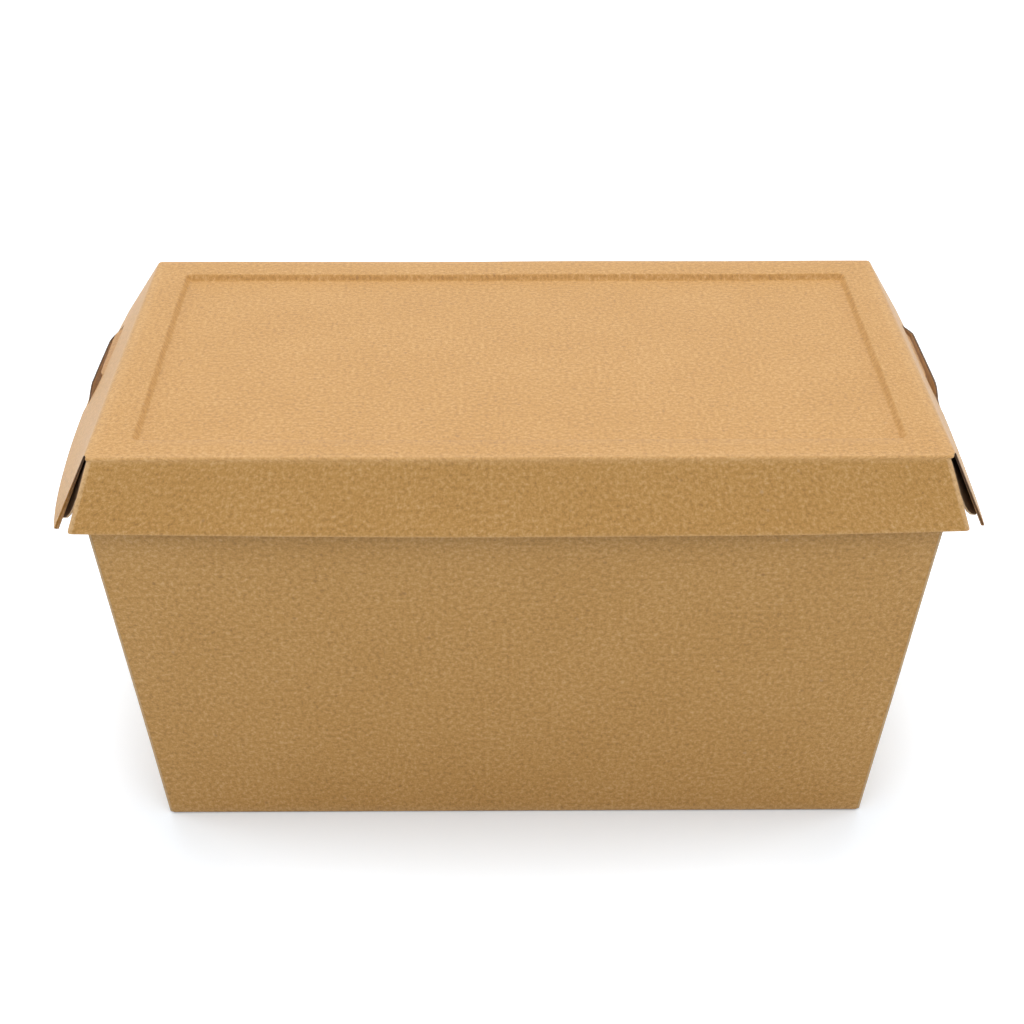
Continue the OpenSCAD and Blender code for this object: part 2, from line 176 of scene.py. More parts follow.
class LockSettings(bpy.types.PropertyGroup):
    """The lock at each side: a tab on the tray that pokes through a slit in the lid's flap."""
    slit_len: length("Slit length", "Length of the slit in a side flap", 0.048)
    slit_place: length("Slit place", "Middle of the slit, behind the middle of the box", 0.0192)
    slit_share: share("Slit height", "Place of the slit down the flap's slope", 0.69)
    slit_end_share: share("Slit end", "Place of the slit's slanted front end down the flap's slope", 0.86)
    push: length("Strap push", "How far the strap below the slit is pushed out", 0.002)
    foot: length("Strap foot", "How far the strap's lower edge is drawn in", 0.0013)
    left_ramp: share("Left rear ramp", "Share of the slit over which the left strap leaves its flap", 0.26)
    right_ramp: share("Right rear ramp", "Share of the slit over which the right strap leaves its flap", 0.15)
    front_ramp: share("Front ramp", "Share of the slit over which a strap's front leaves its flap", 0.23)
    tab_len: length("Tab length", "Length of the tab on the tray's end wall", 0.034)
    tab_place: length("Tab place", "Middle of the tab, behind the middle of the box", 0.022)
    left_reach: length("Left tab reach", "Reach of the left tab down its slope", 0.0057)
    right_reach: length("Right tab reach", "Reach of the right tab down its slope", 0.0064)
    left_dip: angle("Left tab slope", "Slope of the left tab below level", 20)
    right_dip: angle("Right tab slope", "Slope of the right tab below level", 29.5)
    tab_fold: length("Tab fold radius", "Inside radius of the tab's fold", 0.0006)
    tab_corner: length("Tab corner", "Corner radius of the tab", 0.005)


class FinishSettings(bpy.types.PropertyGroup):
    """Colours of the kraft board, and the painted shade put on board that lies in the slots."""
    kraft: colour("Kraft", "Colour of the outside of the board", (0.517, 0.265, 0.06))
    inside: colour("Inside", "Colour of the inside of the board", (0.445, 0.232, 0.082))
    cut: colour("Cut edge", "Colour of the board's cut edges", (0.60, 0.40, 0.21))
    # slot_shade is painted shade: a dark colour on cut edges and ear faces that lie in the shade of the slots
    slot_shade: colour("Painted slot shade", "Colour of the board in the slots", (0.1, 0.055, 0.028))
    dark_fibre: colour("Dark fibre", "Colour of the dark fibres and specks", (0.235, 0.105, 0.032))
    # pale_fibre also colours the painted highlight on the skirt's end folds
    pale_fibre: colour("Pale fibre", "Colour of the pale fibres and worn folds", (0.70, 0.45, 0.22))


class StageSettings(bpy.types.PropertyGroup):
    """Camera, lamps and floor."""
    eye: FloatVectorProperty(
        name="Eye", description="Place of the camera", default=(-0.006081, -0.533847, 0.330298),
        subtype="TRANSLATION", unit="LENGTH", size=3, precision=6,
    )
    pitch: angle("Pitch", "How far the camera looks down", 26.8953)
    yaw: angle("Yaw", "How far the camera turns to the right", 0.6087)
    roll: angle("Roll", "How far the camera leans", 0.1)
    lens_px: number("Lens", "Focal length in widths of a pixel", 2250)
    frame_px: number("Frame", "Width of the picture in pixels", 1024)
    sky: number("Sky", "Strength of the light from all round", 0.235)
    key: number("Key", "Power of the lamp above and behind", 12.1, "POWER")
    fill: number("Fill", "Power of the lamp in front", 10.9, "POWER")
    side: number("Sides", "Power of the lamp at each side", 5.2, "POWER")
    floor: colour("Floor", "Colour of the floor in shade", (0.8, 0.872, 0.95))
    floor_size: length("Floor size", "Half the width of the floor", 4.0)
    # glow and shade_reach also set the painted shadow round the box's foot
    glow: number("Floor glow", "Brightness that open floor shows of its own, near the box", 0.42)
    shade_reach: length("Floor shade", "How far the glow fades round the foot of the box", 0.032)
    white_from: length("White from", "Distance from which the floor turns plain white", 0.5)
    white_to: length("White to", "Distance from which the floor is plain white", 1.1)


GROUPS = {
    "board": BoardSettings,
    "tray": TraySettings,
    "lid": LidSettings,
    "flap": FlapSettings,
    "lock": LockSettings,
    "finish": FinishSettings,
    "stage": StageSettings,
}


class FoodBoxSettings(bpy.types.PropertyGroup):
    """Everything that a user may change, by piece."""
    __annotations__ = {name: PointerProperty(type=group) for name, group in GROUPS.items()}


# Small sums

def lerp(a, b, t):
    return a + (b - a) * t


def clamp(t):
    return min(max(t, 0.0), 1.0)


def smooth(t):
    t = clamp(t)
    return t * t * (3 - 2 * t)


def sign(v):
    return (v > 0) - (v < 0)


def steps_between(lo, hi, count):
    """The ends of count equal steps from lo to hi, without lo."""
    return [lerp(lo, hi, k / count) for k in range(1, count + 1)]


def mirrored(half):
    return [-v for v in reversed(half)] + [0.0] + list(half)


def outermost(lines, side):
    """The place of the last line on one side: right or back for 1, left or front for -1."""
    return len(lines) - 1 if side > 0 else 0


def of_side(group, side, name):
    """A setting of which the left and the right side each have their own."""
    return getattr(group, ("right_" if side > 0 else "left_") + name)


# Folded board

STRAY_PLACES = ((0.3, 0.6, 0.2), (17.3, 5.1, 9.7), (3.9, 23.7, 41.1))
SMOOTH_ANGLE = math.radians(28)


class PanelEdge:
    """A panel's edge: a round fold, then a slope. A station is (out from the crease, off the panel)."""

    def __init__(self, board, flare, run, shares, radius=None):
        self.radius = radius or board.fold_radius
        self.steps = board.fold_steps
        self.wear_reach = board.wear_reach
        self.flare = flare
        self.turn = math.pi / 2 - flare
        self.reach = self.radius * math.tan(self.turn / 2)
        self.run = run
        self.shares = shares
        self.count = self.steps + len(shares)

    def along(self, step):
        """Distance from the crease along the slope."""
        if step <= self.steps:
            return self.reach * step / self.steps
        return lerp(self.reach, self.run, self.shares[step - self.steps - 1])

    def station(self, step, depth):
        if step <= self.steps:
            turn = self.turn * step / self.steps
            inner = self.radius - depth
            return inner * math.sin(turn) - self.reach, self.radius - inner * math.cos(turn)
        along = self.along(step)
        sin, cos = math.sin(self.flare), math.cos(self.flare)
        return along * sin - depth * cos, along * cos + depth * sin

    def flat(self, step):
        """Distance from the panel's edge on the flat blank."""
        if step <= self.steps:
            return self.radius * self.turn * step / self.steps
        return self.radius * self.turn + self.along(step) - self.reach

    def wear(self, step):
        """How worn the board is, from 1 at the fold to 0."""
        return 1 - clamp((self.along(step) - self.reach) / self.wear_reach)


class FoldedSheet:
    """One folded sheet: points on its outer skin with their inner twins, and the cells between them."""

    def __init__(self, thickness):
        self.thickness = thickness
        self.index = {}
        self.outer = []
        self.inner = []
        self.blank = []
        self.wear = []
        self.cells = []
        self.kinds = []
        self.shaded = set()

    def add(self, key, point, at, blank, wear=0.0):
        """Adds a point. point(*at, depth) is its place at a depth in the board, blank its place when flat,
        wear the value that pales it: fold wear, and at the skirt's end folds a painted highlight.
        """
        self.index[key] = len(self.outer)
        self.outer.append(point(*at, 0.0))
        self.inner.append(point(*at, self.thickness))
        self.blank.append(blank)
        self.wear.append(wear)

    def join(self, key, other):
        """Gives a point a second key, so that two panels share it."""
        self.index[key] = self.index[other]

    def shade(self, key):
        """Marks a point whose cut edge lies in the dark of a slot and gets painted shade."""
        self.shaded.add(self.index[key])

    def fill(self, name, firsts, seconds, turned=False, kind=OUTSIDE):
        """Lays cells in a grid of points, whose keys are the words of the name and two counts."""
        for a, b in product(firsts[:-1], seconds[:-1]):
            ring = ((a, b), (a + 1, b), (a + 1, b + 1), (a, b + 1))
            corners = [self.index[(*name, *place)] for place in ring]
            self.cells.append(corners[::-1] if turned else corners)
            self.kinds.append(kind)

    def shift(self, across):
        """Moves the whole sheet to the right."""
        self.outer = [(x + across, y, z) for x, y, z in self.outer]
        self.inner = [(x + across, y, z) for x, y, z in self.inner]

    def cut_edges(self):
        """Edges that only one cell has."""
        edges = {(c[k], c[(k + 1) % 4]) for c in self.cells for k in range(4)}
        return [e for e in edges if (e[1], e[0]) not in edges]

    def piece(self, name, materials, board):
        """The closed sheet as an object: two skins, and strips that close them along the cut edges."""
        count = len(self.outer)
        cut = sorted(self.cut_edges())
        inside = [[k + count for k in reversed(c)] for c in self.cells]
        strips = [[b, a, a + count, b + count] for a, b in cut]
        mesh = bpy.data.meshes.new(name)
        points = [warped(p, board) for p in self.outer + self.inner]
        mesh.from_pydata(points, [], self.cells + inside + strips)
        # Cut edges that lie in a slot get painted shade instead of the cut edge's own colour
        strip_kinds = [SLOT_SHADE if {a, b} <= self.shaded else CUT_EDGE for a, b in cut]
        kinds = self.kinds + [INSIDE] * len(inside) + strip_kinds
        mesh.polygons.foreach_set("material_index", kinds)
        for material in materials:
            mesh.materials.append(material)
        self.mark_corners(mesh, count)
        self.mark_bevels(mesh, cut, count)
        piece = bpy.data.objects.new(name, mesh)
        bpy.context.scene.collection.objects.link(piece)
        soften_edges(piece, board)
        return piece

    def mark_corners(self, mesh, count):
        """Stores each corner's place on the blank as a UV, in metres, and its fold wear, which also carries
        painted highlight.
        """
        loops = np.empty(len(mesh.loops), dtype=np.int32)
        mesh.loops.foreach_get("vertex_index", loops)
        twins = loops % count
        uv = mesh.uv_layers.new(name="blank")
        uv.data.foreach_set("uv", np.array(self.blank, dtype=np.float32)[twins].ravel())
        wear = mesh.attributes.new("wear_and_highlight", "FLOAT", "CORNER")
        wear.data.foreach_set("value", np.array(self.wear, dtype=np.float32)[twins])

    def mark_bevels(self, mesh, cut, count):
        """Marks the two corners of every cut edge for softening."""
        corners = {frozenset(e) for e in cut} | {frozenset((a + count, b + count)) for a, b in cut}
        weights = mesh.attributes.new("bevel_weight_edge", "FLOAT", "EDGE")
        marks = [1.0 if frozenset(e.vertices) in corners else 0.0 for e in mesh.edges]
        weights.data.foreach_set("value", marks)


def warped(point, board):
    """Hand-folded board is never quite flat: a slow stray that fades out at the base."""
    p = Vector(point)
    held = smooth(p.z / board.warp_span)
    stray = Vector([noise.noise(p / board.warp_span + Vector(place)) for place in STRAY_PLACES])
    return p + board.warp * held * stray


def soften_edges(piece, board):
    """Bevels the marked corners and shades the folds smooth."""
    bevel = piece.modifiers.new("cut edges", "BEVEL")
    bevel.limit_method = "WEIGHT"
    bevel.offset_type = "WIDTH"
    bevel.width = board.edge_bevel
    bevel.segments = 1
    bevel.material = CUT_EDGE
    depsgraph = bpy.context.evaluated_depsgraph_get()
    mesh = bpy.data.meshes.new_from_object(piece.evaluated_get(depsgraph))
    piece.modifiers.clear()
    piece.data = mesh
    mesh.name = piece.name
    mesh.polygons.foreach_set("use_smooth", [True] * len(mesh.polygons))
    mesh.set_sharp_from_angle(angle=SMOOTH_ANGLE)


def glued_depth(board):
    """Depth below an outer skin at which the skin of a layer glued to its inside lies."""
    return board.thickness + board.glue_gap


# Lid

class LidBlank:
    """The lid's cross-shaped blank: panel, front skirt, back wall, side flaps and ears."""
    SKIRT_SHARES = (0.06, 0.12, 0.25, 0.38, 0.5, 0.62, 0.74, 0.86, 0.935, 0.965, 1)
    SKIRT_CORNER_SHARE = 0.86
    ABOVE_SLIT_SHARES = (0.1, 0.22, 0.4, 0.6, 0.8, 0.92, 1)
    BELOW_SLIT_SHARES = (0.25, 0.5, 0.75, 1)
    SLIT_STRAIGHT_SHARE = 0.48
    SLOT_POWER = 0.8
    BACK_SHARES = (0.5, 1)
    END_FOLD_SHARE = 0.7
    EAR_ROOT_SHARE = 0.5
    EAR_SHARES = (0.03, 0.07, 0.12, 0.2, 0.3, 0.45, 0.6, 0.8, 1)
    EAR_DROP_SHARE = 0.4
    EAR_MEET_SHARES = (1.0, 0.24)
    EAR_BLANK_SHARE = 0.1
    # Lighter along the last row of the skirt and of the back wall
    EDGE_LIGHTENING = 1.6
    # Painted highlight on the folds at the skirt's ends, given as a wear value above 1
    RETURN_HIGHLIGHT = 3.5
    PANEL_WEAR_REACHES = 2
    EAR_FOLD_STEPS = 5
    MARGIN_SHARES = (0.45, 0.8)
    PRESS_STEPS = 7
    CORNER_STEPS = 6
    FIELD_STEPS_X = 10
    FIELD_STEPS_Y = 26

    def __init__(self, settings):
        board, tray, lid = settings.board, settings.tray, settings.lid
        self.board, self.lid, self.flap, self.lock = board, lid, settings.flap, settings.lock
        rise = lid.top - tray.height
        spread = rise * math.tan(lid.skirt_flare) - board.thickness / math.cos(lid.skirt_flare) - lid.fit_gap
        self.half_w = tray.rim_w / 2 - spread
        self.half_d = tray.rim_d / 2 - spread
        back_flare = math.atan((tray.rim_d / 2 - self.half_d) / rise)
        back_run = (rise - lid.hinge_gap) / math.cos(back_flare)
        self.skirt = PanelEdge(board, lid.skirt_flare, lid.skirt_len, self.SKIRT_SHARES)
        self.back = PanelEdge(board, back_flare, back_run, self.BACK_SHARES)
        self.front_edge = -(self.half_d - self.skirt.reach)
        self.back_edge = self.half_d - self.back.reach
        self.press_w = self.half_w - lid.press_side
        self.press_d = self.half_d - (lid.press_front + lid.press_back) / 2
        self.press_y = (lid.press_front - lid.press_back) / 2
        columns = self.press_lines(self.press_w, self.FIELD_STEPS_X)
        columns += [lerp(self.press_w, self.half_w, t) for t in self.MARGIN_SHARES] + [self.half_w]
        self.columns = mirrored(columns)
        rows = [self.press_y + y for y in mirrored(self.press_lines(self.press_d, self.FIELD_STEPS_Y))]
        front = [lerp(self.front_edge, rows[0], 1 - t) for t in reversed(self.MARGIN_SHARES)]
        back = [lerp(rows[-1], self.back_edge, t) for t in self.MARGIN_SHARES]
        self.rows = [self.front_edge] + front + rows + back + [self.back_edge]
        self.slit_step = board.fold_steps + len(self.ABOVE_SLIT_SHARES)
        self.flap_count = self.slit_step + len(self.BELOW_SLIT_SHARES)
        lowest_root = self.skirt.steps + 1 + self.SKIRT_SHARES.index(self.EAR_ROOT_SHARE)
        self.ear_roots = range(lowest_root, self.skirt.steps - 1, -1)

    def press_lines(self, half, steps):
        """Lines from the middle to the outline of the pressed panel."""
        foot = half - self.lid.press_slope
        flat = foot - self.lid.press_corner
        lines = steps_between(0, flat, steps) + steps_between(flat, foot, self.CORNER_STEPS)
        return lines + steps_between(foot, half, self.PRESS_STEPS)

    def pressed(self, x, y):
        """Depth of the press, from the distance to its rounded outline."""
        lid = self.lid
        dx = abs(x) - self.press_w + lid.press_corner
        dy = abs(y - self.press_y) - self.press_d + lid.press_corner
        out = math.hypot(dx, dy) if dx > 0 and dy > 0 else max(dx, dy)
        return lid.press_depth * smooth((lid.press_corner - out) / lid.press_slope)

    def flap_share(self, y):
        return (y - self.front_edge) / (self.back_edge - self.front_edge)

    def flap_flare(self, side, y):
        t = clamp(self.flap_share(y))
        front, rear, belly = (of_side(self.flap, side, name) for name in ("front", "rear", "belly"))
        skewed = t ** self.flap.belly_skew
        return lerp(front, rear, t) + belly * 4 * skewed * (1 - skewed)

    def flap_edge(self, side, y):
        """A flap's fold is softer at its middle than at its ends."""
        t = clamp(self.flap_share(y))
        radius = lerp(self.board.fold_radius, self.flap.side_fold, 4 * t * (1 - t))
        return PanelEdge(self.board, self.flap_flare(side, y), self.flap.reach, self.flap_shares(y), radius)

    def flap_shares(self, y):
        """Lines down a flap. One of them is the slit, whose front end slants towards the flap's edge."""
        lock = self.lock
        off = (lock.slit_place - y) / (lock.slit_len / 2)
        slant = smooth((off - self.SLIT_STRAIGHT_SHARE) / (1 - self.SLIT_STRAIGHT_SHARE))
        slit = lerp(lock.slit_share, lock.slit_end_share, slant)
        return [slit * v for v in self.ABOVE_SLIT_SHARES] + [lerp(slit, 1, v) for v in self.BELOW_SLIT_SHARES]

    def strap_out(self, side, y):
        """How far the strap has left the flap, from 0 to 1."""
        lock = self.lock
        rear = (lock.slit_len / 2 - (y - lock.slit_place)) / (lock.slit_len * of_side(lock, side, "ramp"))
        front = (lock.slit_len / 2 + (y - lock.slit_place)) / (lock.slit_len * lock.front_ramp)
        return smooth(min(rear, front))

    def strap_push(self, side, y, step, lip):
        """How far a point below the slit, or on its lip, is pushed out."""
        if step < self.slit_step or (step == self.slit_step and not lip):
            return 0.0
        down = (step - self.slit_step) / (self.flap_count - self.slit_step)
        return self.strap_out(side, y) * lerp(self.lock.push, -self.lock.foot, down)

    def side_crease(self, y):
        """Half the lid's width between its side folds, which toe out towards the front."""
        return self.half_w + self.lid.front_spread * (1 - clamp(self.flap_share(y)))

    def column_x(self, column, y):
        """Where a column of the panel lies. The outermost ones follow the flaps' folds."""
        c = self.columns[column]
        if abs(c) <= self.press_w:
            return c
        edge = self.side_crease(y) - self.flap_edge(sign(c), y).reach
        return sign(c) * lerp(self.press_w, edge, (abs(c) - self.press_w) / (self.half_w - self.press_w))

    def flap_point(self, side, step, row, lip, depth):
        """A point of a flap, whose front line draws back to open the slot beside the skirt."""
        y = self.rows[row]
        edge, flap = self.flap_edge(side, y), self.flap
        out, down = edge.station(step, depth)
        along = edge.along(step) / edge.run
        slot = flap.corner_slot * clamp(step / edge.steps) ** self.SLOT_POWER if row == 0 else 0.0
        stretch = along * lerp(-flap.front_reach, flap.rear_reach, self.flap_share(y)) + slot
        x = self.side_crease(y) + out + self.strap_push(side, y, step, lip)
        return side * x, y + stretch, self.lid.top - down

    def skirt_point(self, step, column, depth):
        """The skirt ends short of the corners by the fold that leads to the ears."""
        lid = self.lid
        x = self.columns[column]
        t = abs(x) / self.half_w
        run = lid.skirt_len + lid.skirt_bow * (1 - t * t)
        out, down = PanelEdge(self.board, lid.skirt_flare, run, self.SKIRT_SHARES).station(step, depth)
        inset = of_side(lid, x, "inset")
        corner = self.side_crease(self.front_edge) - inset * smooth(step / self.skirt.steps)
        corner += lid.skirt_spread * self.skirt.along(step) / self.skirt.run
        wide = corner + self.skirt.station(step, 0)[0] - self.end_fold(step)
        panel_wide = self.column_x(outermost(self.columns, 1), self.front_edge)
        return self.column_x(column, self.front_edge) * wide / panel_wide, -self.half_d - out, lid.top - down

    def end_fold(self, step):
        """Radius of the fold at the skirt's ends, which begins low in the front crease."""
        late = (step / self.skirt.steps - self.END_FOLD_SHARE) / (1 - self.END_FOLD_SHARE)
        return self.flap.ear_fold * smooth(late)

    def back_point(self, step, column, depth):
        out, down = self.back.station(step, depth)
        return self.column_x(column, self.back_edge), self.half_d + out, self.lid.top - down

    def panel_point(self, column, row, depth):
        y = self.rows[row]
        x = self.column_x(column, y)
        return x, y, self.lid.top - self.pressed(x, y) - depth

    def panel_wear(self, x, y):
        edge = min(self.half_w - abs(x), y - self.front_edge, self.back_edge - y)
        return 1 - clamp(edge / (self.PANEL_WEAR_REACHES * self.board.wear_reach))

    def return_point(self, side, step, turn, depth):
        """A point on the fold at the skirt's end, which turns back to the ear, with a round lower corner."""
        thickness = self.board.thickness
        column = outermost(self.columns, side)
        start = Vector(self.skirt_point(step, column, 0.0))
        inward = (Vector(self.skirt_point(step, column, thickness)) - start) / thickness
        up = (Vector(self.skirt_point(self.skirt.steps, column, 0.0)) - start).normalized()
        outward = Vector((side, 0, 0))
        fold = self.end_fold(step)
        centre = start + inward * fold
        radius = fold - depth
        low = self.skirt.along(step) / self.skirt.run
        lift = clamp((low - self.SKIRT_CORNER_SHARE) / (1 - self.SKIRT_CORNER_SHARE))
        lift *= self.lid.skirt_corner * (1 - math.sqrt(1 - (turn / self.flap.ear_turn) ** 2))
        point = centre - inward * radius * math.cos(turn) + outward * radius * math.sin(turn)
        return tuple(point + up * lift)

    def flap_inside(self, side, y, drop):
        """Where an ear lies against the inside of its flap, at a distance below the lid's top."""
        flare = self.flap_flare(side, y)
        return self.side_crease(y) + drop * math.tan(flare) - glued_depth(self.board) / math.cos(flare)

    def ear_point(self, side, row, column, depth):
        """Ears are folded back from the ends of the skirt and follow the inside of the flaps."""
        flap, top = self.flap, self.lid.top
        q = self.EAR_SHARES[column]
        root = Vector(self.return_point(side, self.ear_roots[row], flap.ear_turn, 0.0))
        row_share = 1 - row / (len(self.ear_roots) - 1)
        hang = math.sqrt(1 - (1 - clamp(q / self.EAR_DROP_SHARE)) ** 2)
        root_drop = top - root.z
        drop = root_drop + flap.ear_drop * row_share * hang + self.board.thickness * q
        y = root.y + flap.ear_len * q
        apart = max(self.flap_inside(side, root.y, root_drop) - abs(root.x), 0)
        flare = self.flap_flare(side, y)
        drop = min(drop, flap.reach * math.cos(flare) - flap.ear_clear)
        meet = lerp(*self.EAR_MEET_SHARES, row_share)
        x = self.flap_inside(side, y, drop) - apart * (1 - smooth(q / meet))
        return side * (x - depth * math.cos(flare)), y, top - drop - depth * math.sin(flare)

    def fold(self):
        """Folds the whole lid into one sheet."""
        sheet = FoldedSheet(self.board.thickness)
        self.add_panel(sheet)
        self.add_skirt_and_back(sheet)
        for side in (-1, 1):
            self.add_flap(sheet, side)
            self.add_ear(sheet, side)
        return sheet

    def add_panel(self, sheet):
        for i, x in enumerate(self.columns):
            for j, y in enumerate(self.rows):
                sheet.add(("panel", i, j), self.panel_point, (i, j), (x, y), self.panel_wear(x, y))
        sheet.fill(("panel",), range(len(self.columns)), range(len(self.rows)))

    def add_skirt_and_back(self, sheet):
        arms = (
            ("skirt", self.skirt, self.skirt_point, -1, self.front_edge),
            ("back", self.back, self.back_point, 1, self.back_edge),
        )
        for name, edge, point, way, start in arms:
            for i, x in enumerate(self.columns):
                sheet.join((name, i, 0), ("panel", i, outermost(self.rows, way)))
                for k in range(1, edge.count + 1):
                    # The last row is made lighter
                    wear = self.EDGE_LIGHTENING if k == edge.count else edge.wear(k)
                    sheet.add((name, i, k), point, (k, i), (x, start + way * edge.flat(k)), wear)
            sheet.fill((name,), range(len(self.columns)), range(edge.count + 1), turned=way < 0)

    def add_flap(self, sheet, side):
        """A flap down to its slit, and the strap below, which share the slit's line outside the slit."""
        name = "right flap" if side > 0 else "left flap"
        strap = "right strap" if side > 0 else "left strap"
        for j, y in enumerate(self.rows):
            edge = self.flap_edge(side, y)
            sheet.join((name, 0, j), ("panel", outermost(self.columns, side), j))
            for k in range(1, edge.count + 1):
                blank = (side * (self.half_w + edge.flat(k)), y)
                sheet.add((name, k, j), self.flap_point, (side, k, j, False), blank, edge.wear(k))
                # The flap's front cut edge and the strap's lip are marked for painted shade
                if j == 0:
                    sheet.shade((name, k, j))
                if k == self.slit_step and self.strap_out(side, y) > 0:
                    sheet.add((strap, k, j), self.flap_point, (side, k, j, True), blank)
                    sheet.shade((strap, k, j))
                elif k >= self.slit_step:
                    sheet.join((strap, k, j), (name, k, j))
        rows = range(len(self.rows))
        sheet.fill((name,), range(self.slit_step + 1), rows, turned=side < 0)
        sheet.fill((strap,), range(self.slit_step, self.flap_count + 1), rows, turned=side < 0)

    def add_ear(self, sheet, side):
        """The fold at the skirt's end runs its whole height, and the ear hangs on a part of it."""
        flap, skirt = self.flap, self.skirt
        fold = "right return" if side > 0 else "left return"
        ear = "right ear" if side > 0 else "left ear"
        heights = range(skirt.steps - 1, skirt.count + 1)
        turns = range(self.EAR_FOLD_STEPS + 1)
        for k in heights:
            sheet.join((fold, k, 0), ("skirt", outermost(self.columns, side), k))
            for c in turns[1:]:
                turn = flap.ear_turn * c / self.EAR_FOLD_STEPS
                blank = (side * (self.half_w + flap.ear_fold * turn), self.front_edge - skirt.flat(k))
                # The end folds carry a painted highlight through their wear value
                sheet.add((fold, k, c), self.return_point, (side, k, turn), blank, self.RETURN_HIGHLIGHT)
        sheet.fill((fold,), heights, turns, turned=side < 0)
        for r, k in enumerate(self.ear_roots):
            sheet.join((ear, 0, r), (fold, k, self.EAR_FOLD_STEPS))
            for c, q in enumerate(self.EAR_SHARES):
                across = self.half_w + flap.ear_len * (q + self.EAR_BLANK_SHARE)
                blank = (side * across, self.front_edge - skirt.flat(k))
                sheet.add((ear, c + 1, r), self.ear_point, (side, r, c), blank)
        columns = range(len(self.EAR_SHARES) + 1)
        # The ears' faces get the painted slot shade, standing in for the shade in the slot between flap and
        # skirt
        sheet.fill((ear,), columns, range(len(self.ear_roots)), turned=side < 0, kind=SLOT_SHADE)


# Tray

